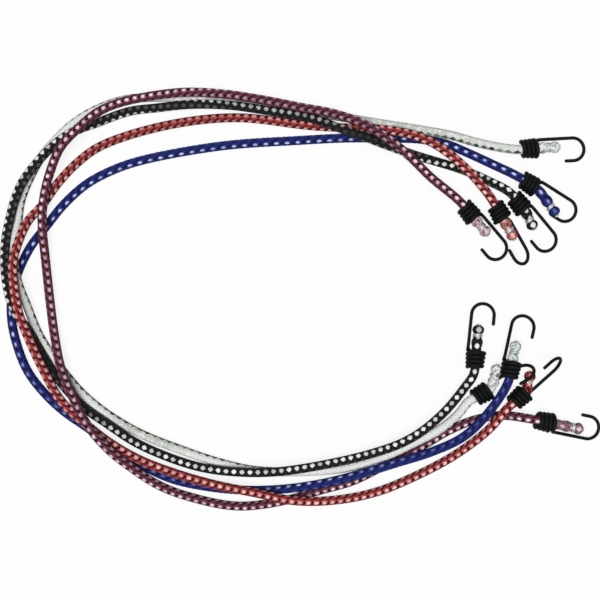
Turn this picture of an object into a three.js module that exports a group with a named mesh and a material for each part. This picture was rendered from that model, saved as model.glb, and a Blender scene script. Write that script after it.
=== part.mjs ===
// A set of five bungee cords laid together in a loose C on a flat surface.
// Each cord is a braided sheath over a rubber core, with a wire hook wound round each end
// and a steel ring crimped on the tail that stops the hook from slipping off.
// Millimetres, +Z up, the surface is z = 0 and the origin is at the middle of the set.
import * as THREE from 'three';

// Cord
const CORD_DIAMETER = 8;
const SHEATH_WALL = 0.8;
const CORE_CLEARANCE = 0.35;
const UNDERSIDE_FLAT = 0.8;
const SHEATH_SIDES = 8;
const CORE_SIDES = 6;
const CORD_STEP = 32;
const STACK_CLEARANCE = 0.5;

// Hook
const WIRE_DIAMETER = 3;
const WIRE_SIDES = 5;
const COIL_TURNS = 4;
const STEPS_PER_TURN = 8;
const COIL_TURN_GAP = 0.6;
const COIL_CLEARANCE = 0.45;
const COIL_FLARE = 1;
const HOOK_REACH = 50;
const HOOK_WIDTH = 20;
const HOOK_TIP_LENGTH = 8.5;
const SHANK_BEND_LENGTH = 5;

// Crimp, on the tail
const CRIMP_FROM_END = 9;
const CRIMP_WIRE_DIAMETER = 1.3;
const CRIMP_CLEARANCE = 0.25;
const CRIMP_STEPS = 12;
const CRIMP_SIDES = 5;

// Straight stretch of cord before each coil
const ENTRY_LENGTH = 13;

// Each cord has two ends and a route between them.
// An end gives the middle of its coil, then in degrees the heading of its hook seen from above,
// the pitch of that heading and the roll of the shank about it, where 0 is to the left, 90 up and
// 180 right. Its tail turns to the left of the hook and rises from it, in degrees, once it is out of
// the coil, and has a length from the middle of the coil.
// A route point is x, y and a level: 0 lies on the surface and 1 lies on a cord that does.
const CORDS = {
  mauve: {
    colour: 0x8a4a5c,
    upper: {
      coil: [148.5, 77, 10.2], heading: -48.5, pitch: -9, roll: 0,
      tail: { turn: 0, rise: 0, length: 26 },
    },
    lower: {
      coil: [215, -107, 10.2], heading: -12, pitch: -9, roll: 180,
      tail: { turn: 0, rise: 0, length: 35 },
    },
    route: [
      [115, 108, 0.7], [94.5, 127, 1.4], [76, 141, 1.9], [55, 154, 1.6], [31, 163, 1.2], [0, 169, 1.2],
      [-35, 176, 1], [-70, 181, 1], [-106, 182, 1], [-158, 173, 1.1], [-178, 164, 1.2],
      [-194, 150, 1.6], [-209, 133, 1.85], [-219, 112, 1.2], [-224, 92, 1.2], [-226, 69, 1.2],
      [-224, 35, 0.5], [-216, -31, 0.6], [-209, -61, 1.2], [-199, -84, 1.6], [-185, -109, 2.1],
      [-167, -130, 2.1], [-146, -148, 1.3], [-123, -164, 0.3], [-97, -174, 0], [-55, -182, 0],
      [-13, -177, 0], [18, -168, 0], [46, -160, 0], [75, -146, 0], [106, -130, 0], [132, -115, 0],
      [154, -106, 0], [178, -102, 0],
    ],
  },
  black: {
    colour: 0x1b1a1c,
    upper: {
      coil: [192.5, 84.5, 10.2], heading: -49, pitch: -9, roll: 0,
      tail: { turn: -12, rise: 0, length: 26 },
    },
    lower: {
      coil: [154, -52, 10.2], heading: 83, pitch: -9, roll: 0,
      tail: { turn: 0, rise: 0, length: 30 },
    },
    route: [
      [166, 105, 0.3], [145, 114.5, 0], [101, 128, 0.1], [79, 135, 0.8], [57, 143, 1.05],
      [35, 150.5, 1.2], [9, 160, 0.75], [-26, 166, 0.75], [-62, 171, 0.85], [-97, 172, 0.6],
      [-128, 169.5, 0], [-151, 166.5, 0], [-180, 156, 0.2], [-201, 147, 0.7], [-218, 134, 1],
      [-242, 106, 1], [-250, 89, 0.9], [-255, 71, 0.85], [-258, 53, 1.1], [-258, 31, 1.55],
      [-256, 9, 1.2], [-250, -10, 1], [-239, -26, 0.85], [-229, -44, 0.75], [-213, -69.5, 0.6],
      [-192, -93, 0.5], [-170, -108.5, 0.7], [-141, -127.5, 0.4], [-92, -146, 0.6],
      [-53, -151, 1.05], [-13, -150, 1], [62, -135, 1], [97, -121, 1.5], [125, -100, 1],
      [144.5, -77, 0.9],
    ],
  },
  red: {
    colour: 0xb04a45,
    upper: {
      coil: [175, 77, 10], heading: -60, pitch: -4, roll: -40,
      tail: { turn: 0, rise: 0, length: 27 },
    },
    lower: {
      coil: [192, -86, 12], heading: 41, pitch: -5, roll: 240,
      tail: { turn: 32, rise: 0, length: 26 },
    },
    route: [
      [158, 102, 1], [145, 116, 1], [130, 129, 1], [114, 139, 1.05], [95, 146, 1], [70, 150, 0.75],
      [40, 152, 0.1], [9, 154, 0], [-57, 161, 0], [-119, 154, 0], [-176, 136, 0], [-197, 121, 0],
      [-214, 103, 0], [-228, 83, 0.1], [-239, 70, 0.5], [-246, 52, 1.4], [-250, 32, 2.1],
      [-249, 11, 2.1], [-245, -11, 2.1], [-236, -35, 1.9], [-224, -62, 1.5], [-210, -88, 0.95],
      [-190, -107, 1], [-167, -125, 1.05], [-141, -140, 1], [-110, -152, 0.95], [-75, -162, 0.95],
      [-40, -169, 1.05], [-4, -176, 1.15], [31, -176, 0.6], [66, -170, 0], [101, -156, 0],
      [136, -137, 0.3], [165, -114, 1.1],
    ],
  },
  blue: {
    colour: 0x2b3f9a,
    upper: {
      coil: [201.5, 102, 10.2], heading: -31, pitch: -9, roll: 0,
      tail: { turn: -22, rise: 12, length: 37 },
    },
    lower: {
      coil: [184, -61, 16], heading: 76, pitch: -12, roll: 0,
      tail: { turn: 0, rise: 0, length: 25 },
    },
    route: [
      [168.5, 120, 0.4], [148, 130, 0], [128, 138, 0], [106, 142, 0], [75, 143, 0], [40, 143, 0],
      [0, 141, 0], [-70, 136, 0], [-141, 123, 0], [-167, 114, 0], [-189, 102, 0], [-209, 84, 0],
      [-225, 64, 0], [-238, 47, 0], [-248, 27, 0], [-254, 7, 0], [-255, -14, 0], [-251, -36, 0],
      [-241, -62, 0], [-226, -82, 0], [-209, -98, 0], [-189, -112, 0], [-165, -129, 0],
      [-141, -145, 0], [-113, -158, 0], [-81, -165, 0], [-48, -168, 0], [-16, -167, 0.1],
      [16, -162, 0.7], [48, -154, 1.05], [84, -143, 1.1], [114, -134, 0.8], [141, -122, 0.7],
      [159, -106, 1.1],
    ],
  },
  white: {
    colour: 0xe4e6e0,
    upper: {
      coil: [201.5, 133, 10.2], heading: 4, pitch: -9, roll: 0,
      tail: { turn: 0, rise: 0, length: 27 },
    },
    lower: {
      coil: [160, -82.5, 9.8], heading: 29, pitch: -1, roll: -55,
      tail: { turn: 41, rise: 0, length: 30 },
    },
    route: [
      [158, 138, 0.5], [132, 145, 0.6], [101, 151, 0.1], [70, 156, 0], [40, 161, 0], [4, 167, 0],
      [-66, 176, 0], [-132, 179, 0], [-158, 176, 0], [-180, 168, 0], [-200, 156, 0], [-216, 141, 0],
      [-230, 124, 0], [-246, 90, 0], [-249, 71, 0], [-251, 53, 0.6], [-251, 33, 1.05],
      [-247, 14, 1], [-240, -6, 0.5], [-231, -30, 0], [-216.5, -53, 0], [-204, -69.5, 0],
      [-192, -83, 0], [-170, -101, 0], [-141, -118, 0], [-106, -132, 0], [-70, -144, 0],
      [-35, -151, 0], [35, -149, 0.1], [70, -139.5, 0.3], [101, -125, 0.75], [123, -113.5, 0.8],
      [139, -101, 0.4],
    ],
  },
};

const CORD_RADIUS = CORD_DIAMETER / 2;
const BORE_RADIUS = CORD_RADIUS - SHEATH_WALL;
const CORE_RADIUS = BORE_RADIUS - CORE_CLEARANCE;
const GROUND_HEIGHT = CORD_RADIUS - UNDERSIDE_FLAT;
const LEVEL_HEIGHT = CORD_DIAMETER + STACK_CLEARANCE;

const WIRE_RADIUS = WIRE_DIAMETER / 2;
const COIL_PITCH = WIRE_DIAMETER + COIL_TURN_GAP;
const COIL_LENGTH = COIL_TURNS * COIL_PITCH;
// The flats of the coil's steps, and not its corners, clear the cord.
const COIL_NECK_RADIUS = (CORD_RADIUS + COIL_CLEARANCE + WIRE_RADIUS) / Math.cos(Math.PI / STEPS_PER_TURN);
const COIL_MOUTH_RADIUS = COIL_NECK_RADIUS + COIL_FLARE;
const BEND_RADIUS = HOOK_WIDTH / 2;

const UP = new THREE.Vector3(0, 0, 1);

// The middle line of a cord: its section never rolls, so its flat side always faces down.
class CordLine extends THREE.CatmullRomCurve3 {
  constructor(points) {
    super(points, false, 'centripetal');
    this.rings = [0];
    const spans = points.length - 1;
    for (let i = 0; i < spans; i += 1) {
      const steps = Math.ceil(points[i].distanceTo(points[i + 1]) / CORD_STEP);
      for (let k = 1; k <= steps; k += 1) {
        this.rings.push((i + k / steps) / spans);
      }
    }
  }

  // A cord that comes down on the surface doesn't dip into it.
  getPoint(t, target) {
    const point = super.getPoint(t, target);
    point.z = Math.max(point.z, GROUND_HEIGHT);
    return point;
  }

  // The section has a ring at every point of the line, and more where two points are far apart.
  getSpacedPoints() {
    return this.rings.map((t) => this.getPoint(t));
  }

  computeFrenetFrames() {
    const tangents = this.rings.map((t) => this.getTangent(t));
    const normals = tangents.map((tangent) => new THREE.Vector3().crossVectors(UP, tangent).normalize());
    const binormals = tangents.map((tangent, i) => new THREE.Vector3().crossVectors(tangent, normals[i]));
    return { tangents, normals, binormals };
  }
}

// The direction of a heading and a pitch in degrees.
function direction(heading, pitch) {
  const turn = THREE.MathUtils.degToRad(heading);
  const slope = THREE.MathUtils.degToRad(pitch);
  const level = Math.cos(slope);
  return new THREE.Vector3(level * Math.cos(turn), level * Math.sin(turn), Math.sin(slope));
}

// A point on the line through an end's coil, measured outwards from the coil's middle.
function pointOnEnd(end, distance) {
  return new THREE.Vector3(...end.coil).addScaledVector(direction(end.heading, end.pitch), distance);
}

function tailHeading(end) {
  return end.heading + end.tail.turn;
}

function tailPitch(end) {
  return end.pitch + end.tail.rise;
}

// A point on the tail, which may turn aside at the coil's mouth, measured back from its cut end.
function pointOnTail(end, fromEnd) {
  const past = end.tail.length - fromEnd - COIL_LENGTH / 2;
  const mouth = pointOnEnd(end, COIL_LENGTH / 2);
  return mouth.addScaledVector(direction(tailHeading(end), tailPitch(end)), past);
}

function cordLine(cord) {
  const points = [
    pointOnTail(cord.upper, 0),
    pointOnEnd(cord.upper, COIL_LENGTH / 2),
    pointOnEnd(cord.upper, -ENTRY_LENGTH),
  ];
  for (const [x, y, level] of cord.route) {
    points.push(new THREE.Vector3(x, y, GROUND_HEIGHT + level * LEVEL_HEIGHT));
  }
  points.push(pointOnEnd(cord.lower, -ENTRY_LENGTH));
  points.push(pointOnEnd(cord.lower, COIL_LENGTH / 2));
  points.push(pointOnTail(cord.lower, 0));
  return new CordLine(points);
}

// A round section with one flat side underneath.
function flatBottomedSection(radius, sides) {
  const flatAngle = Math.acos((radius - UNDERSIDE_FLAT) / radius);
  const start = -Math.PI / 2 + flatAngle;
  const sweep = 2 * (Math.PI - flatAngle);
  const points = [];
  for (let i = 0; i < sides; i += 1) {
    const angle = start + (sweep * i) / (sides - 1);
    points.push(new THREE.Vector2(radius * Math.cos(angle), radius * Math.sin(angle)));
  }
  return points;
}

function extrudeAlong(shape, line) {
  const steps = line.rings.length - 1;
  return new THREE.ExtrudeGeometry(shape, { steps, extrudePath: line, bevelEnabled: false });
}

function sheathGeometry(line) {
  const shape = new THREE.Shape(flatBottomedSection(CORD_RADIUS, SHEATH_SIDES));
  shape.holes.push(new THREE.Path(flatBottomedSection(BORE_RADIUS, CORE_SIDES)));
  return extrudeAlong(shape, line);
}

function coreGeometry(line) {
  return extrudeAlong(new THREE.Shape(flatBottomedSection(CORE_RADIUS, CORE_SIDES)), line);
}

// The hook's wire along +X with its shank on the +Y side: coil, shank, bend and tip in one run.
function hookLine() {
  const points = [];
  const coilSteps = COIL_TURNS * STEPS_PER_TURN;
  for (let i = 0; i <= coilSteps; i += 1) {
    const along = i / coilSteps;
    const angle = (2 * Math.PI * (i - coilSteps - 1)) / STEPS_PER_TURN;
    const radius = COIL_NECK_RADIUS + COIL_FLARE * along;
    const x = COIL_LENGTH * (along - 0.5);
    points.push(new THREE.Vector3(x, radius * Math.cos(angle), radius * Math.sin(angle)));
  }
  const shankStart = COIL_LENGTH / 2 + SHANK_BEND_LENGTH;
  const bendStart = HOOK_REACH - BEND_RADIUS;
  points.push(new THREE.Vector3(COIL_LENGTH / 2 + COIL_PITCH / 2, COIL_MOUTH_RADIUS, -WIRE_RADIUS));
  points.push(new THREE.Vector3(shankStart, COIL_MOUTH_RADIUS, 0));
  const bendSteps = STEPS_PER_TURN;
  for (let i = 0; i <= bendSteps; i += 1) {
    const angle = Math.PI * (0.5 - i / bendSteps);
    const x = bendStart + BEND_RADIUS * Math.cos(angle);
    const y = COIL_MOUTH_RADIUS - BEND_RADIUS + BEND_RADIUS * Math.sin(angle);
    points.push(new THREE.Vector3(x, y, 0));
  }
  points.push(new THREE.Vector3(bendStart - HOOK_TIP_LENGTH, COIL_MOUTH_RADIUS - HOOK_WIDTH, 0));
  return points;
}

// A solid wire through the points: one ring of corners at each point, and a flat cap at each end.
function wireGeometry(points, radius, sides) {
  const last = points.length - 1;
  const positions = [];
  const indices = [];
  let normal = new THREE.Vector3(0, 0, 1);
  points.forEach((point, i) => {
    const before = points[Math.max(i - 1, 0)];
    const after = points[Math.min(i + 1, last)];
    const tangent = new THREE.Vector3().subVectors(after, before).normalize();
    normal = normal.addScaledVector(tangent, -normal.dot(tangent)).normalize();
    const binormal = new THREE.Vector3().crossVectors(tangent, normal);
    for (let k = 0; k < sides; k += 1) {
      const angle = (2 * Math.PI * k) / sides;
      const corner = point.clone();
      corner.addScaledVector(normal, radius * Math.cos(angle));
      corner.addScaledVector(binormal, radius * Math.sin(angle));
      positions.push(corner.x, corner.y, corner.z);
    }
  });
  for (let i = 0; i < last; i += 1) {
    for (let k = 0; k < sides; k += 1) {
      const a = i * sides + k;
      const b = i * sides + ((k + 1) % sides);
      indices.push(a, b, b + sides, a, b + sides, a + sides);
    }
  }
  for (let k = 1; k < sides - 1; k += 1) {
    indices.push(0, k + 1, k);
    indices.push(last * sides, last * sides + k, last * sides + k + 1);
  }
  const geometry = new THREE.BufferGeometry();
  geometry.setAttribute('position', new THREE.Float32BufferAttribute(positions, 3));
  geometry.setIndex(indices);
  geometry.computeVertexNormals();
  return geometry;
}

// The least gap between turns of one wire, between points at least half a turn apart.
function leastGap(points, diameter) {
  let least = Infinity;
  for (let i = 0; i < points.length; i += 1) {
    for (let j = i + STEPS_PER_TURN / 2; j < points.length; j += 1) {
      least = Math.min(least, points[i].distanceTo(points[j]) - diameter);
    }
  }
  return least;
}

// A wire ring round the tail, lying across +X.
function crimpGeometry() {
  const radius = CRIMP_WIRE_DIAMETER / 2;
  const holeRadius = CORD_RADIUS / Math.cos(Math.PI / CRIMP_STEPS) + CRIMP_CLEARANCE;
  const ringRadius = holeRadius + radius;
  const profile = [];
  for (let k = 0; k <= CRIMP_SIDES; k += 1) {
    const angle = (2 * Math.PI * (k % CRIMP_SIDES)) / CRIMP_SIDES;
    profile.push(new THREE.Vector2(ringRadius + radius * Math.cos(angle), radius * Math.sin(angle)));
  }
  return new THREE.LatheGeometry(profile, CRIMP_STEPS).rotateZ(-Math.PI / 2);
}

// Puts a piece modelled along +X at a point: rolled, tipped by the pitch and turned to the heading.
function place(mesh, point, heading, pitch, roll) {
  mesh.position.copy(point);
  mesh.rotation.order = 'ZYX';
  mesh.rotation.z = THREE.MathUtils.degToRad(heading);
  mesh.rotation.y = THREE.MathUtils.degToRad(-pitch);
  mesh.rotation.x = THREE.MathUtils.degToRad(roll);
}

function namedMesh(name, geometry, material) {
  const mesh = new THREE.Mesh(geometry, material);
  mesh.name = name;
  return mesh;
}

const rubber = new THREE.MeshStandardMaterial({ color: 0xcfc3a4, roughness: 0.8, metalness: 0 });
const dippedWire = new THREE.MeshStandardMaterial({ color: 0x141615, roughness: 0.4, metalness: 0 });
const steel = new THREE.MeshStandardMaterial({ color: 0x9a9c9b, roughness: 0.35, metalness: 1 });

const wirePoints = hookLine();
const hookShape = wireGeometry(wirePoints, WIRE_RADIUS, WIRE_SIDES);
const crimpShape = crimpGeometry();
console.log(`hook wire: least gap to itself ${leastGap(wirePoints, WIRE_DIAMETER).toFixed(2)} mm`);

const set = new THREE.Group();
for (const [name, cord] of Object.entries(CORDS)) {
  const line = cordLine(cord);
  const braid = new THREE.MeshStandardMaterial({ color: cord.colour, roughness: 0.85, metalness: 0 });
  set.add(namedMesh(`${name}_sheath`, sheathGeometry(line), braid));
  set.add(namedMesh(`${name}_core`, coreGeometry(line), rubber));
  for (const side of ['upper', 'lower']) {
    const end = cord[side];
    const hook = namedMesh(`${name}_${side}_hook`, hookShape, dippedWire);
    place(hook, pointOnEnd(end, 0), end.heading, end.pitch, end.roll);
    const crimp = namedMesh(`${name}_${side}_crimp`, crimpShape, steel);
    place(crimp, pointOnTail(end, CRIMP_FROM_END), tailHeading(end), tailPitch(end), 0);
    set.add(hook, crimp);
  }
}

export default set;
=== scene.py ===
# A set of five bungee cords laid together in a loose C, seen from straight above.
# Each cord is a braided sheath with a dipped wire hook, a crimped ring and a cut tail at both ends.
import math
from collections import namedtuple

import bmesh
import bpy
import numpy as np
from mathutils import Euler, Matrix, Vector


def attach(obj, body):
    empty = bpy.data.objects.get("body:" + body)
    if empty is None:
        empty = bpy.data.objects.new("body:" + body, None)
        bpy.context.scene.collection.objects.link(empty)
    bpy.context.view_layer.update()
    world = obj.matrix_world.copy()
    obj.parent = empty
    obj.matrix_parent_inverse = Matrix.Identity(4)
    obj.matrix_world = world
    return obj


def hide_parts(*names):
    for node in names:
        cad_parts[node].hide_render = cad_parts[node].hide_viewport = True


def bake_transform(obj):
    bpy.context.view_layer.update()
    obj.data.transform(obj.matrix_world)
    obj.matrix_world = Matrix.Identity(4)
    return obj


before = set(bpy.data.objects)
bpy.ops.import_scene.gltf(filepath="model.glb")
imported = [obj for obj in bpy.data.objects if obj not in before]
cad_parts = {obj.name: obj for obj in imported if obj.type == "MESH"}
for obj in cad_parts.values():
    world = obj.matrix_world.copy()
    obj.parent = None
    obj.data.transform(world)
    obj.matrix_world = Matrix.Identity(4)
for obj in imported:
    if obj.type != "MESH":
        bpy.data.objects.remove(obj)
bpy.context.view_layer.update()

MM = 0.001

# Photograph's frame and camera, the lens and the sensor in millimetres
FRAME_WIDTH = 528 * MM
LENS = 85
SENSOR = 36
MIDDLE_HEIGHT = 8 * MM

# Cord: its middle is at the ground height where it lies on the table, and each level lifts it by a step.
CORD_RADIUS = 4 * MM
GROUND_HEIGHT = 3.2 * MM
LEVEL_HEIGHT = 8.5 * MM
ENTRY_LENGTH = 13 * MM
LINE_SAMPLES = 24
RING_STEP = 0.7 * MM

# Braid: strands each way, the rise of a crossing over the gaps, how round it is and its mean share of
# that rise, how fast the braid opens where the cord swells, and the height that it stays above.
SHEATH_SIDES = 48
STRANDS = 8
STRAND_CROWN = 0.22 * MM
PILLOW_POWER = 0.6
PILLOW_MEAN = 0.6
OPENING_POWER = 1.5
UNDERSIDE = 0.02 * MM

# Hook: the dip makes the wire thicker on the coil, by the factor given.
WIRE_RADIUS = 1.5 * MM
WIRE_ROUNDNESS = 5
COIL_TURNS = 4
COIL_STEPS = 24
COIL_LENGTH = 14.4 * MM
COIL_NECK_RADIUS = 6.2 * MM
COIL_MOUTH_RADIUS = 7.3 * MM
COIL_DIP = 1.35
HOOK_REACH = 50 * MM
HOOK_WIDTH = 20 * MM
HOOK_TIP_LENGTH = 8.5 * MM
BEND_STEPS = 24

# Tail: the middle of the crimp's wire stands off the waist by its seat, a share of the wire's radius.
CRIMP_FROM_END = 9 * MM
CRIMP_WIRE_RADIUS = 0.7 * MM
CRIMP_TURNS = 2
CRIMP_STEPS = 32
CRIMP_PITCH = 2.1 * CRIMP_WIRE_RADIUS
CRIMP_SEAT = 0.7
LAST_FLECK_FROM_END = 4.2 * MM
THREAD_RADIUS = 0.42 * MM
THREAD_CUT_RADIUS = 0.34 * MM
THREAD_SIDES = 8
STUB_LENGTH = 1.6 * MM
STUB_UNEVENNESS = 0.2
STUB_WAVES = 5

# Sizes of the patches in the materials. Fluff on a fleck's edge is drawn coarser than it is, so it shows.
FADED_PATCH = 16.7 * MM
FLECK_FLUFF = 1.43 * MM
FRAYED_TANGLE = 2.63 * MM
COAT_RIPPLE = 2.86 * MM
ZINC_CLOUD = 1.11 * MM
TALC_PATCH = 0.83 * MM

# Floor and light
FLOOR_HALF_WIDTH = 3.0
FLOOR_DROP = 0.3 * MM
FLOOR_GLOW = 0.85
SUN_STRENGTH = 2.7
SUN_WIDTH = math.radians(35)
SUN_TILT = math.radians(6)
WORLD_LIGHT = 0.16

# An end, in millimetres and degrees, as the model has it: the middle of its coil, the heading of its
# hook seen from above, the heading's pitch, the roll of the shank about it, and its tail's turn, rise
# and length.
End = namedtuple("End", "coil heading pitch roll turn rise tail")

# Each cord's ends and route as the model has them: a route point is x, y and a level.
# Fleck is the spacing of the flecks along a cord. Lay says how the braid lies, in millimetres from the
# upper cut end: how far it is rolled to the left, in degrees, and how strongly its flecks show.
CORDS = {
    "mauve": {
        "pulled": "lower",
        "fleck": 7.2,
        "upper": End((148.5, 77, 10.2), -48.5, -9, 0, 0, 0, 26),
        "lower": End((215, -107, 10.2), -12, -9, 180, 0, 0, 35),
        "lay": [(0, 0, 1), (95, 0, 1), (130, -55, 0.8), (270, -68, 0.8), (325, -8, 1), (440, 0, 1),
                (500, -20, 0.9), (545, 18, 0.6), (650, 22, 0.6), (720, -40, 0.9), (800, -30, 1),
                (1040, -22, 1), (1095, -28, 1), (1168, 0, 1)],
        "route": [
            (115, 108, 0.7), (94.5, 127, 1.4), (76, 141, 1.9), (55, 154, 1.6), (31, 163, 1.2),
            (0, 169, 1.2), (-35, 176, 1), (-70, 181, 1), (-106, 182, 1), (-158, 173, 1.1),
            (-178, 164, 1.2), (-194, 150, 1.6), (-209, 133, 1.85), (-219, 112, 1.2), (-224, 92, 1.2),
            (-226, 69, 1.2), (-224, 35, 0.5), (-216, -31, 0.6), (-209, -61, 1.2), (-199, -84, 1.6),
            (-185, -109, 2.1), (-167, -130, 2.1), (-146, -148, 1.3), (-123, -164, 0.3), (-97, -174, 0),
            (-55, -182, 0), (-13, -177, 0), (18, -168, 0), (46, -160, 0), (75, -146, 0), (106, -130, 0),
            (132, -115, 0), (154, -106, 0), (178, -102, 0),
        ],
    },
    "black": {
        "pulled": "upper",
        "fleck": 6.9,
        "upper": End((192.5, 84.5, 10.2), -49, -9, 0, -12, 0, 26),
        "lower": End((154, -52, 10.2), 83, -9, 0, 0, 0, 30),
        # From 655 to 725 mm the black cord's flecks fade nearly out, as painted shade on that run.
        "lay": [(0, 0, 1), (35, -15, 1), (80, -38, 1), (125, 58, 0.9), (175, 80, 0.3), (215, 165, 0.4),
                (290, 165, 0.5), (325, 125, 1), (350, 95, 0.6), (385, 60, 0.9), (430, 66, 0.9),
                (452, 150, 0.9), (472, 150, 0.9), (495, 138, 1), (570, 138, 1), (625, 140, 1),
                (655, 135, 0.1), (725, 150, 0.1), (770, 176, 0.8), (880, 188, 1), (950, 206, 1),
                (1060, 202, 1), (1110, 184, 1), (1158, 180, 1)],
        "route": [
            (166, 105, 0.3), (145, 114.5, 0), (101, 128, 0.1), (79, 135, 0.8), (57, 143, 1.05),
            (35, 150.5, 1.2), (9, 160, 0.75), (-26, 166, 0.75), (-62, 171, 0.85), (-97, 172, 0.6),
            (-128, 169.5, 0), (-151, 166.5, 0), (-180, 156, 0.2), (-201, 147, 0.7), (-218, 134, 1),
            (-242, 106, 1), (-250, 89, 0.9), (-255, 71, 0.85), (-258, 53, 1.1), (-258, 31, 1.55),
            (-256, 9, 1.2), (-250, -10, 1), (-239, -26, 0.85), (-229, -44, 0.75), (-213, -69.5, 0.6),
            (-192, -93, 0.5), (-170, -108.5, 0.7), (-141, -127.5, 0.4), (-92, -146, 0.6),
            (-53, -151, 1.05), (-13, -150, 1), (62, -135, 1), (97, -121, 1.5), (125, -100, 1),
            (144.5, -77, 0.9),
        ],
    },
    "red": {
        "pulled": "upper",
        "fleck": 7.1,
        "upper": End((175, 77, 10), -60, -4, -40, 0, 0, 27),
        "lower": End((192, -86, 12), 41, -5, 240, 32, 0, 26),
        "lay": [(0, 0, 1), (35, 20, 1), (60, 45, 1), (165, 48, 0.9), (225, 62, 1), (275, 60, 0.8),
                (300, 60, 0.45), (420, 56, 0.5), (450, 50, 0.9), (540, 45, 1), (680, 45, 0.9),
                (750, 18, 0.75), (860, -8, 1), (950, -22, 1), (1090, -18, 1), (1156, 0, 1)],
        "route": [
            (158, 102, 1), (145, 116, 1), (130, 129, 1), (114, 139, 1.05), (95, 146, 1), (70, 150, 0.75),
            (40, 152, 0.1), (9, 154, 0), (-57, 161, 0), (-119, 154, 0), (-176, 136, 0), (-197, 121, 0),
            (-214, 103, 0), (-228, 83, 0.1), (-239, 70, 0.5), (-246, 52, 1.4), (-250, 32, 2.1),
            (-249, 11, 2.1), (-245, -11, 2.1), (-236, -35, 1.9), (-224, -62, 1.5), (-210, -88, 0.95),
            (-190, -107, 1), (-167, -125, 1.05), (-141, -140, 1), (-110, -152, 0.95), (-75, -162, 0.95),
            (-40, -169, 1.05), (-4, -176, 1.15), (31, -176, 0.6), (66, -170, 0), (101, -156, 0),
            (136, -137, 0.3), (165, -114, 1.1),
        ],
    },
    "blue": {
        "pulled": "upper",
        "fleck": 9.4,
        "upper": End((201.5, 102, 10.2), -31, -9, 0, -22, 12, 37),
        "lower": End((184, -61, 16), 76, -12, 0, 0, 0, 25),
        "lay": [(0, 0, 0.15), (12, 0, 0.15), (17, 0, 1), (140, 4, 1), (215, 32, 1), (420, 30, 1),
                (515, 18, 1), (570, 0, 1), (600, -5, 0.9), (632, -12, 0.3), (860, 10, 0.2),
                (905, 42, 0.9), (935, 42, 0.8), (965, 34, 0.45), (1030, 22, 0.15), (1160, 20, 0.15)],
        "route": [
            (168.5, 120, 0.4), (148, 130, 0), (128, 138, 0), (106, 142, 0), (75, 143, 0), (40, 143, 0),
            (0, 141, 0), (-70, 136, 0), (-141, 123, 0), (-167, 114, 0), (-189, 102, 0), (-209, 84, 0),
            (-225, 64, 0), (-238, 47, 0), (-248, 27, 0), (-254, 7, 0), (-255, -14, 0), (-251, -36, 0),
            (-241, -62, 0), (-226, -82, 0), (-209, -98, 0), (-189, -112, 0), (-165, -129, 0),
            (-141, -145, 0), (-113, -158, 0), (-81, -165, 0), (-48, -168, 0), (-16, -167, 0.1),
            (16, -162, 0.7), (48, -154, 1.05), (84, -143, 1.1), (114, -134, 0.8), (141, -122, 0.7),
            (159, -106, 1.1),
        ],
    },
    "white": {
        "pulled": "upper",
        "fleck": 7.1,
        "upper": End((201.5, 133, 10.2), 4, -9, 0, 0, 0, 27),
        "lower": End((160, -82.5, 9.8), 29, -1, -55, 41, 0, 30),
        "lay": [(0, -44, 1), (200, -40, 1), (340, 20, 0.7), (440, 28, 1), (480, -25, 1), (560, -20, 1),
                (700, -30, 0.9), (800, -24, 1), (1000, -24, 1), (1070, 26, 1), (1131, 0, 1)],
        "route": [
            (158, 138, 0.5), (132, 145, 0.6), (101, 151, 0.1), (70, 156, 0), (40, 161, 0), (4, 167, 0),
            (-66, 176, 0), (-132, 179, 0), (-158, 176, 0), (-180, 168, 0), (-200, 156, 0),
            (-216, 141, 0), (-230, 124, 0), (-246, 90, 0), (-249, 71, 0), (-251, 53, 0.6),
            (-251, 33, 1.05), (-247, 14, 1), (-240, -6, 0.5), (-231, -30, 0), (-216.5, -53, 0),
            (-204, -69.5, 0), (-192, -83, 0), (-170, -101, 0), (-141, -118, 0), (-106, -132, 0),
            (-70, -144, 0), (-35, -151, 0), (35, -149, 0.1), (70, -139.5, 0.3), (101, -125, 0.75),
            (123, -113.5, 0.8), (139, -101, 0.4),
        ],
    },
}

# How far the tails past the coils have frayed to bare pale yarn.
FRAYED = {
    ("mauve", "upper"): 0.8,
    ("mauve", "lower"): 0.25,
    ("blue", "lower"): 1.0,
    ("red", "upper"): 0.3,
    ("white", "upper"): 0.7,
    ("white", "lower"): 0.7,
}

# How far painted shade greys the white cord, in millimetres from its upper cut end.
PAINTED_SHADE = {
    "white": [(0, 0.1), (45, 0.25), (110, 0.55), (300, 0.8), (360, 0.15), (735, 0.1), (760, 0.7),
              (800, 0.6), (830, 0.1)],
}


def linear(hex_colour):
    """A linear RGBA colour from an sRGB hex value."""
    parts = [int(hex_colour[i:i + 2], 16) / 255 for i in (0, 2, 4)]
    return [c / 12.92 if c <= 0.04045 else ((c + 0.055) / 1.055) ** 2.4 for c in parts] + [1.0]


def add(tree, kind, inputs, **settings):
    """A node with its settings; an input is a value, or a socket to link from."""
    made = tree.nodes.new(kind)
    for name, value in settings.items():
        setattr(made, name, value)
    for socket, value in inputs.items():
        if isinstance(value, bpy.types.NodeSocket):
            tree.links.new(value, made.inputs[socket])
        else:
            made.inputs[socket].default_value = value
    return made.outputs


def new_material(name):
    """A material and its empty tree."""
    material = bpy.data.materials.new(name)
    material.use_nodes = True
    material.node_tree.nodes.clear()
    return material, material.node_tree


def patches(size):
    """The scale of a noise whose patches have a size: how many go to a metre, in round tens."""
    return round(1 / size, -1)


def direction(heading, pitch):
    """The direction of a heading and a pitch in degrees."""
    turn = math.radians(heading)
    slope = math.radians(pitch)
    level = math.cos(slope)
    return Vector((level * math.cos(turn), level * math.sin(turn), math.sin(slope)))


def point_on_end(end, distance):
    """A point on the line through an end's coil, measured outwards from the coil's middle."""
    return Vector(end.coil) * MM + direction(end.heading, end.pitch) * distance


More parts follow.
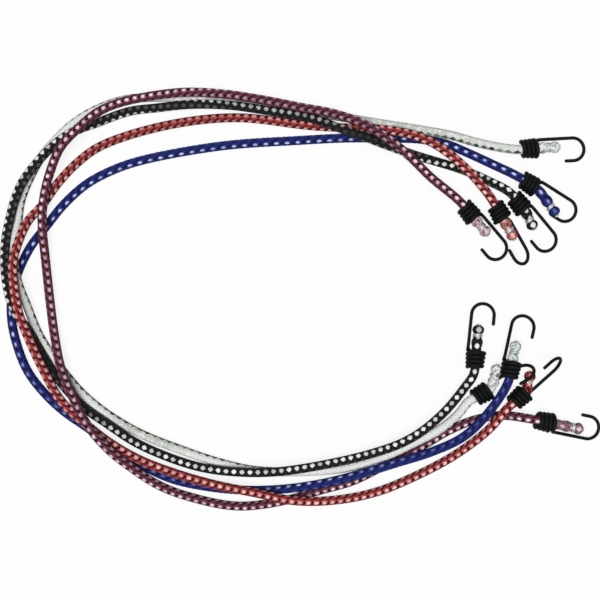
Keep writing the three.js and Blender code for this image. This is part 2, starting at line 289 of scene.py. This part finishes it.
def point_on_tail(end, from_end):
    """A point on the tail, which may turn aside at the coil's mouth, measured back from its cut end."""
    past = end.tail * MM - from_end - COIL_LENGTH / 2
    mouth = point_on_end(end, COIL_LENGTH / 2)
    return mouth + direction(end.heading + end.turn, end.pitch + end.rise) * past


def placing(place, heading, pitch, roll):
    """Puts what is modelled along +X at a point: rolled, tipped to a pitch and turned to a heading."""
    rolled = Matrix.Rotation(math.radians(roll), 4, "X")
    tipped = Matrix.Rotation(math.radians(-pitch), 4, "Y")
    turned = Matrix.Rotation(math.radians(heading), 4, "Z")
    return Matrix.Translation(place) @ turned @ tipped @ rolled


def placing_on_tail(end, from_end):
    """Puts what is modelled along +X on the tail, measured back from its cut end."""
    return placing(point_on_tail(end, from_end), end.heading + end.turn, end.pitch + end.rise, 0)


def cord_points(cord):
    """The points of a cord's middle line, from its upper cut end to its lower one."""
    upper, lower = cord["upper"], cord["lower"]
    points = [point_on_tail(upper, 0), point_on_end(upper, COIL_LENGTH / 2)]
    points.append(point_on_end(upper, -ENTRY_LENGTH))
    for x, y, level in cord["route"]:
        points.append(Vector((x * MM, y * MM, GROUND_HEIGHT + level * LEVEL_HEIGHT)))
    points.append(point_on_end(lower, -ENTRY_LENGTH))
    points += [point_on_end(lower, COIL_LENGTH / 2), point_on_tail(lower, 0)]
    return np.array([list(point) for point in points])


def smooth_line(points, step):
    """A centripetal Catmull-Rom line through the points, sampled at an even step."""
    ends = (2 * points[0] - points[1], 2 * points[-1] - points[-2])
    knots = np.vstack((ends[0], points, ends[1]))
    gaps = np.linalg.norm(np.diff(knots, axis=0), axis=1) ** 0.5
    t = np.linspace(0, 1, LINE_SAMPLES, endpoint=False)[:, None]
    samples = []
    for i in range(1, len(knots) - 2):
        p0, p1, p2, p3 = knots[i - 1:i + 3]
        g0, g1, g2 = gaps[i - 1:i + 2]
        m1 = ((p1 - p0) / g0 - (p2 - p0) / (g0 + g1) + (p2 - p1) / g1) * g1
        m2 = ((p2 - p1) / g1 - (p3 - p1) / (g1 + g2) + (p3 - p2) / g2) * g1
        cubic = (2 * p1 - 2 * p2 + m1 + m2) * t ** 3 + (3 * p2 - 3 * p1 - 2 * m1 - m2) * t ** 2
        samples.append(cubic + m1 * t + p1)
    line = np.vstack(samples + [points[-1:]])
    line[:, 2] = np.maximum(line[:, 2], GROUND_HEIGHT)
    along = np.concatenate(([0], np.cumsum(np.linalg.norm(np.diff(line, axis=0), axis=1))))
    count = int(along[-1] / step) + 1
    even = np.linspace(0, along[-1], count)
    return np.stack([np.interp(even, along, line[:, k]) for k in range(3)], axis=1), even


def finish_piece(piece, material):
    """Puts a new piece in the scene, smooth and in its material."""
    bpy.context.scene.collection.objects.link(piece)
    piece.data.materials.append(material)
    piece.data.polygons.foreach_set("use_smooth", [True] * len(piece.data.polygons))
    return piece


# Camera

camera = bpy.data.objects.new("camera", bpy.data.cameras.new("camera"))
camera.data.lens = LENS
camera.data.sensor_width = SENSOR
camera.location = (0, 0, MIDDLE_HEIGHT + FRAME_WIDTH * LENS / SENSOR)
bpy.context.scene.collection.objects.link(camera)
bpy.context.scene.camera = camera


# Cords

# Swell of the tail, in millimetres: distance from the cut end, and the cord's radius there.
TAIL_PROFILE = (
    (0, 2.6), (0.8, 4.1), (2, 4.9), (3.5, 5.2), (5.5, 4.9), (7, 3.7), (8, 3.3), (10, 3.3), (11, 3.7),
    (13, 4.8), (15, 5.1), (17, 4.8), (19, 4.2), (20.5, 4.2), (22.5, 4.6), (25, 4.6), (28, 4.3),
    (32, 4.0),
)


def tail_radius(from_end):
    """The cord's radius at a distance from its cut end."""
    places = [place * MM for place, _ in TAIL_PROFILE]
    radii = [radius * MM for _, radius in TAIL_PROFILE]
    return np.interp(from_end, places, radii)


def frayed_share(name, cord, along):
    """How frayed the cord is at each ring: only its tails are, past their coils."""
    share = np.zeros_like(along)
    for side, from_end in (("upper", along), ("lower", along[-1] - along)):
        bare = cord[side].tail * MM - COIL_LENGTH / 2
        share += FRAYED.get((name, side), 0) * (from_end < bare)
    return share


def sheath_mesh(name, cord):
    """A braided tube along the cord, each crossing of its strands a small pillow, and its middle line.
    The UV map counts the strands that run to the right and to the left. Three attributes say, ring by
    ring, how strongly the flecks show, how frayed the cord is and how far painted shade greys it."""
    line, along = smooth_line(cord_points(cord), RING_STEP)
    tangent = np.gradient(line, axis=0)
    tangent /= np.linalg.norm(tangent, axis=1)[:, None]
    side = np.cross((0, 0, 1), tangent)
    side /= np.linalg.norm(side, axis=1)[:, None]
    up = np.cross(tangent, side)
    radius = tail_radius(np.minimum(along, along[-1] - along))

    # The braid opens where the tail swells, and a fleck lies on both end swells.
    opening = (CORD_RADIUS / radius) ** OPENING_POWER
    braided = np.cumsum(opening) * (along[1] - along[0])
    first = np.interp(LAST_FLECK_FROM_END, along, braided)
    last = np.interp(along[-1] - LAST_FLECK_FROM_END, along, braided)
    fleck = (last - first) / round((last - first) / (cord["fleck"] * MM))
    places, rolls, shows = zip(*cord["lay"])
    roll = np.interp(along / MM, places, rolls) / 360

    turn = np.linspace(0, 1, SHEATH_SIDES + 1)[None, :]
    around = STRANDS * (turn - 0.5 + roll[:, None]) + 0.5
    travel = (2 * (braided - first) / fleck)[:, None]
    right = around + travel
    left = around - travel
    pillow = np.abs(np.sin(math.pi * right) * np.sin(math.pi * left)) ** PILLOW_POWER
    reach = radius[:, None] + STRAND_CROWN * (pillow - PILLOW_MEAN)
    angle = 2 * math.pi * turn - math.pi / 2
    spokes = np.cos(angle)[..., None] * side[:, None] + np.sin(angle)[..., None] * up[:, None]
    skin = line[:, None] + reach[..., None] * spokes
    skin[..., 2] = np.maximum(skin[..., 2], UNDERSIDE)

    rings = len(line)
    index = np.arange(rings * SHEATH_SIDES).reshape(rings, SHEATH_SIDES)
    wrapped = np.hstack((index, index[:, :1]))
    quads = np.stack((wrapped[:-1, :-1], wrapped[:-1, 1:], wrapped[1:, 1:], wrapped[1:, :-1]), axis=-1)
    mesh = bpy.data.meshes.new(f"{name}_cord")
    faces = quads.reshape(-1, 4).tolist() + [index[0, ::-1].tolist(), index[-1].tolist()]
    mesh.from_pydata(skin[:, :-1].reshape(-1, 3), [], faces)
    strands = np.stack((right, left), axis=-1)
    corners = np.stack((strands[:-1, :-1], strands[:-1, 1:], strands[1:, 1:], strands[1:, :-1]), axis=2)
    caps = np.zeros((2 * SHEATH_SIDES, 2))
    uv = mesh.uv_layers.new(name="strands")
    uv.data.foreach_set("uv", np.vstack((corners.reshape(-1, 2), caps)).astype(np.float32).ravel())
    shown = np.interp(along / MM, places, shows)
    # Painted shade: how far the cord is greyed, ring by ring
    shade_places, shade_shares = zip(*PAINTED_SHADE.get(name, [(0, 0)]))
    painted_shade = np.interp(along / MM, shade_places, shade_shares)
    frayed = frayed_share(name, cord, along)
    for title, values in (("tracer", shown), ("frayed", frayed), ("painted_shade", painted_shade)):
        attribute = mesh.attributes.new(title, "FLOAT", "POINT")
        attribute.data.foreach_set("value", np.repeat(values, SHEATH_SIDES).astype(np.float32))
    return mesh, line


# Spacing of the flecks' rows round the cord, in millimetres: every second strand.
ROW_SPACING = 2 * math.pi * CORD_RADIUS / MM * 2 / STRANDS

# The sum of the two counts of strands is one on top of an unrolled cord and rises by four from row to
# row. Their difference rises by four from fleck to fleck.
COUNT_SHARE = 0.25

# Kinds of crossing, and how far they move on from one strand that runs to the left to the next.
CROSSING_KINDS = 8
KIND_STEP = -3.0

# Ridges drawn on a strand: real yarn has many more filaments, which are too fine to show.
FILAMENTS = 5


def braid_material(name, gap_shade, crossings, fleck, spacing, rows, frayed):
    """Textured polyester yarn, braided: matt, with tracer flecks and with painted shade in the gaps
    between its strands.
    The crossings come in eight kinds, in step round and along the cord. Flecks lie in rows, and those of
    one row lie between those of the next; a fleck is a colour, a width and a length in millimetres. Rows
    says how strongly the flecks of even and of odd rows show, and frayed is a frayed tail's pale and dark
    colour. The cord's attributes say where the flecks fade, where painted shade greys it and where it
    is frayed."""
    material, tree = new_material(name)
    strands = add(tree, "ShaderNodeUVMap", {}, uv_map="strands")["UV"]
    split = add(tree, "ShaderNodeSeparateXYZ", {"Vector": strands})
    whole, part, crown = [], [], []
    for family in ("X", "Y"):
        whole.append(add(tree, "ShaderNodeMath", {0: split[family]}, operation="FLOOR")[0])
        part.append(add(tree, "ShaderNodeMath", {0: split[family]}, operation="FRACT")[0])
        half_turn = add(tree, "ShaderNodeMath", {0: part[-1], 1: math.pi}, operation="MULTIPLY")[0]
        crown.append(add(tree, "ShaderNodeMath", {0: half_turn}, operation="SINE")[0])

    # The yarn's colour at each kind of crossing
    stepped = add(
        tree, "ShaderNodeMath", {0: whole[1], 1: KIND_STEP, 2: whole[0]}, operation="MULTIPLY_ADD"
    )[0]
    kind = add(tree, "ShaderNodeMath", {0: stepped, 1: CROSSING_KINDS}, operation="FLOORED_MODULO")[0]
    middle = add(tree, "ShaderNodeMath", {0: kind, 1: 0.5}, operation="ADD")[0]
    share = add(tree, "ShaderNodeMath", {0: middle, 1: CROSSING_KINDS}, operation="DIVIDE")[0]
    yarn = add(tree, "ShaderNodeValToRGB", {"Fac": share})["Color"]
    stops = yarn.node.color_ramp
    stops.interpolation = "CONSTANT"
    stops.elements.remove(stops.elements[1])
    stops.elements[0].color = linear(crossings[0])
    for i in range(1, CROSSING_KINDS):
        stops.elements.new(i / CROSSING_KINDS).color = linear(crossings[i])

    # Painted shade in the gaps between the strands, and a little unevenness of the yarn
    pillow = add(tree, "ShaderNodeMath", {0: crown[0], 1: crown[1]}, operation="MULTIPLY")[0]
    rise = add(tree, "ShaderNodeMapRange", {"Value": pillow, "From Max": 0.25})["Result"]
    place = add(tree, "ShaderNodeTexCoord", {})["Object"]
    crossing = add(tree, "ShaderNodeCombineXYZ", {"X": whole[0], "Y": whole[1]})["Vector"]
    dyed = add(tree, "ShaderNodeTexWhiteNoise", {"Vector": crossing})["Value"]
    fade = add(
        tree, "ShaderNodeTexNoise", {"Vector": place, "Scale": patches(FADED_PATCH), "Detail": 3.0}
    )["Fac"]
    uneven = add(tree, "ShaderNodeMath", {0: dyed, 1: 0.5, 2: fade}, operation="MULTIPLY_ADD")[0]
    shade = add(
        tree, "ShaderNodeMapRange", {"Value": uneven, "From Max": 1.5, "To Min": 0.7, "To Max": 1.1}
    )["Result"]
    depth = add(tree, "ShaderNodeMath", {0: rise, 1: shade}, operation="MULTIPLY")[0]
    braid = add(
        tree, "ShaderNodeMix", {"Factor": depth, "A": linear(gap_shade), "B": yarn}, data_type="RGBA"
    )["Result"]

    # Flecks: the distance from the nearest one, across and along the cord
    total = add(tree, "ShaderNodeMath", {0: split["X"], 1: split["Y"]}, operation="ADD")[0]
    around = add(
        tree, "ShaderNodeMath", {0: total, 1: COUNT_SHARE, 2: -COUNT_SHARE}, operation="MULTIPLY_ADD"
    )[0]
    row = add(tree, "ShaderNodeMath", {0: around}, operation="ROUND")[0]
    off_row = add(tree, "ShaderNodeMath", {0: around, 1: row}, operation="SUBTRACT")[0]
    odd = add(tree, "ShaderNodeMath", {0: row, 1: 2.0}, operation="FLOORED_MODULO")[0]
    half_step = add(tree, "ShaderNodeMath", {0: odd, 1: 0.5}, operation="MULTIPLY")[0]
    ahead = add(tree, "ShaderNodeMath", {0: split["X"], 1: split["Y"]}, operation="SUBTRACT")[0]
    steps = add(
        tree, "ShaderNodeMath", {0: ahead, 1: COUNT_SHARE, 2: half_step}, operation="MULTIPLY_ADD"
    )[0]
    step = add(tree, "ShaderNodeMath", {0: steps}, operation="ROUND")[0]
    off_step = add(tree, "ShaderNodeMath", {0: steps, 1: step}, operation="SUBTRACT")[0]
    off = add(tree, "ShaderNodeCombineXYZ", {"X": off_row, "Y": off_step})["Vector"]
    colour, width, length = fleck
    halves = (2 * ROW_SPACING / width, 2 * spacing / length, 0)
    sized = add(tree, "ShaderNodeVectorMath", {0: off, 1: halves}, operation="MULTIPLY")["Vector"]

    # A fleck's outline is between an ellipse and a lozenge, and its edge is fluffy.
    plain = add(tree, "ShaderNodeVectorMath", {0: sized}, operation="ABSOLUTE")["Vector"]
    lozenge = add(
        tree, "ShaderNodeVectorMath", {0: plain, 1: (1, 1, 0)}, operation="DOT_PRODUCT"
    )["Value"]
    ellipse = add(tree, "ShaderNodeVectorMath", {0: sized}, operation="LENGTH")["Value"]
    away = add(tree, "ShaderNodeMix", {"Factor": 0.5, "A": ellipse, "B": lozenge})["Result"]
    fluff = add(
        tree, "ShaderNodeTexNoise", {"Vector": place, "Scale": patches(FLECK_FLUFF), "Detail": 1.0}
    )["Fac"]
    edge = add(tree, "ShaderNodeMath", {0: fluff, 1: 0.7, 2: away}, operation="MULTIPLY_ADD")[0]
    spot = add(tree, "ShaderNodeMapRange", {"Value": edge, "From Min": 1.55, "From Max": 1.2})["Result"]

    # How strongly a fleck shows: by its row, by chance and by its place on the cord
    even_rows, odd_rows = rows
    in_row = add(
        tree, "ShaderNodeMapRange", {"Value": odd, "To Min": even_rows, "To Max": odd_rows}
    )["Result"]
    spot = add(tree, "ShaderNodeMath", {0: spot, 1: in_row}, operation="MULTIPLY")[0]
    which = add(tree, "ShaderNodeCombineXYZ", {"X": row, "Y": step})["Vector"]
    chance = add(tree, "ShaderNodeTexWhiteNoise", {"Vector": which})["Value"]
    bright = add(tree, "ShaderNodeMapRange", {"Value": chance, "To Min": 0.55, "To Max": 1.1})["Result"]
    tracer = add(tree, "ShaderNodeAttribute", {}, attribute_name="tracer")["Fac"]
    strength = add(
        tree, "ShaderNodeMath", {0: bright, 1: tracer}, operation="MULTIPLY", use_clamp=True
    )[0]
    shown = add(tree, "ShaderNodeMath", {0: spot, 1: strength}, operation="MULTIPLY")[0]
    flecked = add(
        tree, "ShaderNodeMix", {"Factor": shown, "A": braid, "B": linear(colour)}, data_type="RGBA"
    )["Result"]

    # Painted shade that greys the yarn, some crossings more than others
    painted_shade = add(tree, "ShaderNodeAttribute", {}, attribute_name="painted_shade")["Fac"]
    per_crossing = add(tree, "ShaderNodeMapRange", {"Value": dyed, "From Min": 0.1, "From Max": 0.5})["Result"]
    grey_shade = add(tree, "ShaderNodeMath", {0: painted_shade, 1: per_crossing}, operation="MULTIPLY")[0]
    greyed = add(
        tree, "ShaderNodeMix", {"Factor": grey_shade, "A": flecked, "B": linear("b4bcb2")},
        data_type="RGBA", blend_type="MULTIPLY",
    )["Result"]

    # Frayed tails: bare pale yarn with darker threads in it
    tangle = add(
        tree, "ShaderNodeTexNoise", {"Vector": place, "Scale": patches(FRAYED_TANGLE), "Detail": 1.0}
    )["Fac"]
    knots = add(
        tree, "ShaderNodeMapRange", {"Value": tangle, "From Min": 0.52, "From Max": 0.6}
    )["Result"]
    pale, dark = frayed
    bare = add(
        tree, "ShaderNodeMix", {"Factor": knots, "A": linear(pale), "B": linear(dark)}, data_type="RGBA"
    )["Result"]
    worn = add(tree, "ShaderNodeAttribute", {}, attribute_name="frayed")["Fac"]
    surface_colour = add(
        tree, "ShaderNodeMix", {"Factor": worn, "A": greyed, "B": bare}, data_type="RGBA"
    )["Result"]

    # Filaments run along each strand, whichever of the two lies on top at a crossing.
    both = add(tree, "ShaderNodeMath", {0: whole[0], 1: whole[1]}, operation="ADD")[0]
    parity = add(tree, "ShaderNodeMath", {0: both, 1: 2.0}, operation="FLOORED_MODULO")[0]
    across = add(tree, "ShaderNodeMix", {"Factor": parity, "A": part[0], "B": part[1]})["Result"]
    filament = add(
        tree, "ShaderNodeMath", {0: across, 1: 2 * math.pi * FILAMENTS}, operation="MULTIPLY"
    )[0]
    ridge = add(tree, "ShaderNodeMath", {0: filament}, operation="SINE")[0]
    bump = add(
        tree, "ShaderNodeBump", {"Height": ridge, "Strength": 0.35, "Distance": 0.15 * MM}
    )["Normal"]
    surface = add(
        tree, "ShaderNodeBsdfPrincipled",
        {
            "Base Color": surface_colour, "Roughness": 0.8, "IOR": 1.5, "Specular IOR Level": 0.2,
            "Normal": bump,
        },
    )["BSDF"]
    add(tree, "ShaderNodeOutputMaterial", {"Surface": surface})
    return material


# Each braid: the painted shade in its gaps, the colour of the eight kinds of crossing and of the flecks
# with their size, how strongly the flecks show in its even and its odd rows, and the two colours of a
# frayed tail.
BRAIDS = {
    "mauve": (
        "1e0410", ["8a5066", "44141f", "6c384c", "7c4258", "26040f", "84485e", "461823", "8a5066"],
        ("fae0e8", 3.3, 3.8), (1, 0.45), ("dcc8cc", "946474"),
    ),
    "black": (
        "010101", ["0c0d0d", "060707", "0c0d0d", "101111", "020202", "101111", "040505", "0c0d0d"],
        ("fcfdfa", 4.2, 4.2), (1, 0.12), ("c8cac6", "202222"),
    ),
    "red": (
        "30040a", ["c85a56", "5c1419", "a03a3c", "ba4a4a", "38040a", "c25250", "661a20", "c85a56"],
        ("fcccc8", 3.6, 3.9), (1, 0.85), ("f0c4bc", "b84a48"),
    ),
    "blue": (
        "02041c", ["26348e", "121b58", "1c2878", "24308e", "0a1140", "243290", "141d5c", "26348e"],
        ("c8d4f8", 2.6, 4.2), (1, 0.2), ("e2eae2", "86968e"),
    ),
    # The white cord's dark flecks are partly its real tracer dashes and partly painted shade on its
    # edges: they are drawn dark and wide, in the odd rows, which lie towards its sides.
    "white": (
        "c6ccc4", ["ffffff", "ffffff", "f0f2ee", "ffffff", "f2f4f0", "ffffff", "f0f2ee", "ffffff"],
        ("2c362e", 4.0, 6.0), (0, 1), ("f4f6f2", "8a948c"),
    ),
}

cords = {}
for name, cord in CORDS.items():
    gap_shade, crossings, fleck, rows, frayed = BRAIDS[name]
    braid = braid_material(
        f"{name}_polyester_braid", gap_shade, crossings, fleck, cord["fleck"], rows, frayed
    )
    mesh, line = sheath_mesh(name, cord)
    piece = bpy.data.objects.new(f"{name}_cord", mesh)
    finish_piece(piece, braid)
    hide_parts(f"{name}_sheath", f"{name}_core")
    cords[name] = (piece, line)


# Hooks

# The share of a turn in which the wire runs out of the coil, and its way from there to the shank:
# millimetres past the coil, a share of the mouth's radius, millimetres across, and its thickness.
RUN_OUT_TURN = 0.125
RUN_OUT = ((1, 0.93, -2.8, COIL_DIP), (2.4, 1, -1, 1), (5, 1, 0, 1))

# Rounding of the hook's tip: millimetres back from its end, and the wire's thickness there.
TIP_ROUNDING = ((1.5, 1), (0.7, 0.9), (0.2, 0.65), (0, 0.3))


def hook_points():
    """The hook's wire along +X with its shank on the +Y side: points, each with a thickness."""
    points = []
    turns = COIL_TURNS - RUN_OUT_TURN
    steps = COIL_TURNS * COIL_STEPS
    for i in range(steps + 1):
        share = i / steps
        angle = 2 * math.pi * (share * turns - turns - RUN_OUT_TURN)
        radius = COIL_NECK_RADIUS + (COIL_MOUTH_RADIUS - COIL_NECK_RADIUS) * share
        x = COIL_LENGTH * (share - 0.5)
        points.append((x, radius * math.cos(angle), radius * math.sin(angle), COIL_DIP))
    for past, share, across, thickness in RUN_OUT:
        points.append((COIL_LENGTH / 2 + past * MM, COIL_MOUTH_RADIUS * share, across * MM, thickness))
    shank_x = points[-1][0]
    bend = HOOK_WIDTH / 2
    bend_x = HOOK_REACH - bend
    points.append(((shank_x + bend_x) / 2, COIL_MOUTH_RADIUS, 0, 1))
    for i in range(BEND_STEPS + 1):
        angle = math.pi * (0.5 - i / BEND_STEPS)
        y = COIL_MOUTH_RADIUS - bend + bend * math.sin(angle)
        points.append((bend_x + bend * math.cos(angle), y, 0, 1))
    tip_y = COIL_MOUTH_RADIUS - HOOK_WIDTH
    for back, thickness in TIP_ROUNDING:
        points.append((bend_x - HOOK_TIP_LENGTH + back * MM, tip_y, 0, thickness))
    return points


def crimp_points():
    """A wire wound on the waist of the tail, round +X: points, each with a thickness."""
    points = []
    steps = CRIMP_TURNS * CRIMP_STEPS
    radius = tail_radius(CRIMP_FROM_END) + CRIMP_WIRE_RADIUS * CRIMP_SEAT
    for i in range(steps + 1):
        share = i / steps
        angle = 2 * math.pi * CRIMP_TURNS * share - math.pi / 2
        x = CRIMP_PITCH * CRIMP_TURNS * (share - 0.5)
        points.append((x, radius * math.cos(angle), radius * math.sin(angle), 1))
    return points


def wire_mesh(name, points, radius, matrix):
    """One length of round wire through points of x, y, z and a share of the radius."""
    curve = bpy.data.curves.new(name, "CURVE")
    curve.dimensions = "3D"
    curve.bevel_depth = radius
    curve.bevel_resolution = WIRE_ROUNDNESS
    curve.use_fill_caps = True
    spline = curve.splines.new("POLY")
    spline.points.add(len(points) - 1)
    for place, point in zip(spline.points, points):
        place.co = (*point[:3], 1)
        place.radius = point[3]
    wire = bpy.data.objects.new(name, curve)
    mesh = bpy.data.meshes.new_from_object(wire)
    mesh.name = name
    bpy.data.objects.remove(wire)
    mesh.transform(matrix)
    return mesh


def dipped_wire_material():
    """Steel wire dipped in soft PVC: a black plastic skin, slightly uneven, with a soft gloss."""
    material, tree = new_material("black_pvc_dipped_wire")
    place = add(tree, "ShaderNodeTexCoord", {})["Object"]
    uneven = add(
        tree, "ShaderNodeTexNoise", {"Vector": place, "Scale": patches(COAT_RIPPLE), "Detail": 2.0}
    )["Fac"]
    tone = add(
        tree, "ShaderNodeMix",
        {"Factor": uneven, "A": linear("020303"), "B": linear("080b0a")}, data_type="RGBA",
    )["Result"]
    rough = add(tree, "ShaderNodeMapRange", {"Value": uneven, "To Min": 0.52, "To Max": 0.68})["Result"]
    bump = add(
        tree, "ShaderNodeBump", {"Height": uneven, "Strength": 0.2, "Distance": 0.2 * MM}
    )["Normal"]
    surface = add(
        tree, "ShaderNodeBsdfPrincipled",
        {"Base Color": tone, "Roughness": rough, "Specular IOR Level": 0.1, "Normal": bump},
    )["BSDF"]
    add(tree, "ShaderNodeOutputMaterial", {"Surface": surface})
    return material


def crimp_material():
    """Galvanised steel wire: bright grey metal with a dull, cloudy zinc coat."""
    material, tree = new_material("galvanised_crimp_wire")
    place = add(tree, "ShaderNodeTexCoord", {})["Object"]
    cloud = add(
        tree, "ShaderNodeTexNoise", {"Vector": place, "Scale": patches(ZINC_CLOUD), "Detail": 3.0}
    )["Fac"]
    tone = add(
        tree, "ShaderNodeMix",
        {"Factor": cloud, "A": linear("9ea3a2"), "B": linear("d4d8d6")}, data_type="RGBA",
    )["Result"]
    rough = add(tree, "ShaderNodeMapRange", {"Value": cloud, "To Min": 0.3, "To Max": 0.5})["Result"]
    surface = add(
        tree, "ShaderNodeBsdfPrincipled", {"Base Color": tone, "Metallic": 0.9, "Roughness": rough}
    )["BSDF"]
    add(tree, "ShaderNodeOutputMaterial", {"Surface": surface})
    return material


# Cut ends of the core

# Rings of rubber threads in the core: a radius in millimetres, and how many lie on it.
THREAD_RINGS = ((0, 1), (0.9, 6), (1.75, 11))


def strands_mesh(name, matrix):
    """The rubber threads of the core, cut off unevenly, a little past the sheath."""
    bm = bmesh.new()
    lying = Matrix.Rotation(math.pi / 2, 4, "Y")
    for ring, count in THREAD_RINGS:
        for i in range(count):
            angle = 2 * math.pi * i / count + ring
            length = STUB_LENGTH * (1 + STUB_UNEVENNESS * math.sin(STUB_WAVES * angle + ring))
            middle = Vector((length / 4, ring * MM * math.cos(angle), ring * MM * math.sin(angle)))
            bmesh.ops.create_cone(
                bm, cap_ends=True, segments=THREAD_SIDES, radius1=THREAD_RADIUS,
                radius2=THREAD_CUT_RADIUS, depth=length, matrix=Matrix.Translation(middle) @ lying,
            )
    mesh = bpy.data.meshes.new(name)
    bm.to_mesh(mesh)
    bm.free()
    mesh.transform(matrix)
    return mesh


def rubber_material():
    """Cut natural rubber thread: matt and cream coloured, dusted with talc in patches."""
    material, tree = new_material("natural_rubber_strands")
    place = add(tree, "ShaderNodeTexCoord", {})["Object"]
    dust = add(
        tree, "ShaderNodeTexNoise", {"Vector": place, "Scale": patches(TALC_PATCH), "Detail": 2.0}
    )["Fac"]
    tone = add(
        tree, "ShaderNodeMix",
        {"Factor": dust, "A": linear("c8bb98"), "B": linear("efe8d6")}, data_type="RGBA",
    )["Result"]
    surface = add(
        tree, "ShaderNodeBsdfPrincipled", {"Base Color": tone, "Roughness": 0.75, "IOR": 1.52}
    )["BSDF"]
    add(tree, "ShaderNodeOutputMaterial", {"Surface": surface})
    return material


DIPPED_WIRE = dipped_wire_material()
CRIMP_WIRE = crimp_material()
RUBBER = rubber_material()
fittings = {name: [] for name in CORDS}
for name, cord in CORDS.items():
    for side in ("upper", "lower"):
        end = cord[side]
        holder = f"{name}_grip" if side == cord["pulled"] else "cords"
        hook = f"{name}_{side}_hook"
        at_coil = placing(point_on_end(end, 0), end.heading, end.pitch, end.roll)
        piece = bpy.data.objects.new(
            f"{hook}_wire", wire_mesh(f"{hook}_wire", hook_points(), WIRE_RADIUS, at_coil)
        )
        finish_piece(piece, DIPPED_WIRE)
        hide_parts(hook)
        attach(piece, hook)
        fittings[name].append(piece)

        crimp = f"{name}_{side}_crimp"
        at_waist = placing_on_tail(end, CRIMP_FROM_END)
        piece = bpy.data.objects.new(
            f"{crimp}_ring", wire_mesh(f"{crimp}_ring", crimp_points(), CRIMP_WIRE_RADIUS, at_waist)
        )
        finish_piece(piece, CRIMP_WIRE)
        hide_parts(crimp)
        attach(piece, holder)
        fittings[name].append(piece)

        stubs = f"{name}_{side}_core_strands"
        piece = bpy.data.objects.new(stubs, strands_mesh(stubs, placing_on_tail(end, 0)))
        finish_piece(piece, RUBBER)
        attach(piece, holder)
        fittings[name].append(piece)


for name, (piece, line) in cords.items():
    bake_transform(piece)


# Floor and light

def backdrop_rays(tree):
    """1 for the rays that see the white backdrop: the camera's, and what gloss or glass sends on."""
    path = add(tree, "ShaderNodeLightPath", {})
    seen = path["Is Camera Ray"]
    for ray in ("Is Glossy Ray", "Is Transmission Ray"):
        seen = add(tree, "ShaderNodeMath", {0: seen, 1: path[ray]}, operation="MAXIMUM")[0]
    return seen


def floor_material():
    """A white table top: it shows the camera and the gloss a plain white, and keeps soft shadows."""
    material, tree = new_material("white_table")
    seen = backdrop_rays(tree)
    matt = add(tree, "ShaderNodeBsdfDiffuse", {"Color": linear("f4f4f2")})["BSDF"]
    glow = add(tree, "ShaderNodeEmission", {"Color": linear("ffffff"), "Strength": seen})["Emission"]
    both = add(tree, "ShaderNodeMixShader", {"Fac": FLOOR_GLOW, 1: matt, 2: glow})["Shader"]
    add(tree, "ShaderNodeOutputMaterial", {"Surface": both})
    return material


bm = bmesh.new()
bmesh.ops.create_grid(bm, x_segments=1, y_segments=1, size=FLOOR_HALF_WIDTH)
floor_mesh = bpy.data.meshes.new("floor")
bm.to_mesh(floor_mesh)
bm.free()
floor_mesh.materials.append(floor_material())
floor_mesh.transform(Matrix.Translation((0, 0, -FLOOR_DROP)))
floor = bpy.data.objects.new("floor", floor_mesh)
bpy.context.scene.collection.objects.link(floor)

sun = bpy.data.objects.new("overhead_light", bpy.data.lights.new("overhead_light", "SUN"))
sun.data.energy = SUN_STRENGTH
sun.data.angle = SUN_WIDTH
sun.rotation_euler = Euler((SUN_TILT, -SUN_TILT, 0))
bpy.context.scene.collection.objects.link(sun)

# The world lights the set dimly from all round, and is white where it is seen past the floor's edge.
world = bpy.data.worlds.new("studio")
world.use_nodes = True
backdrop = world.node_tree.nodes["Background"]
backdrop.inputs["Color"].default_value = (1, 1, 1, 1)
strength = add(
    world.node_tree, "ShaderNodeMapRange",
    {"Value": backdrop_rays(world.node_tree), "To Min": WORLD_LIGHT, "To Max": 1.0},
)["Result"]
world.node_tree.links.new(strength, backdrop.inputs["Strength"])
bpy.context.scene.world = world
bpy.context.scene.view_settings.view_transform = "Standard"
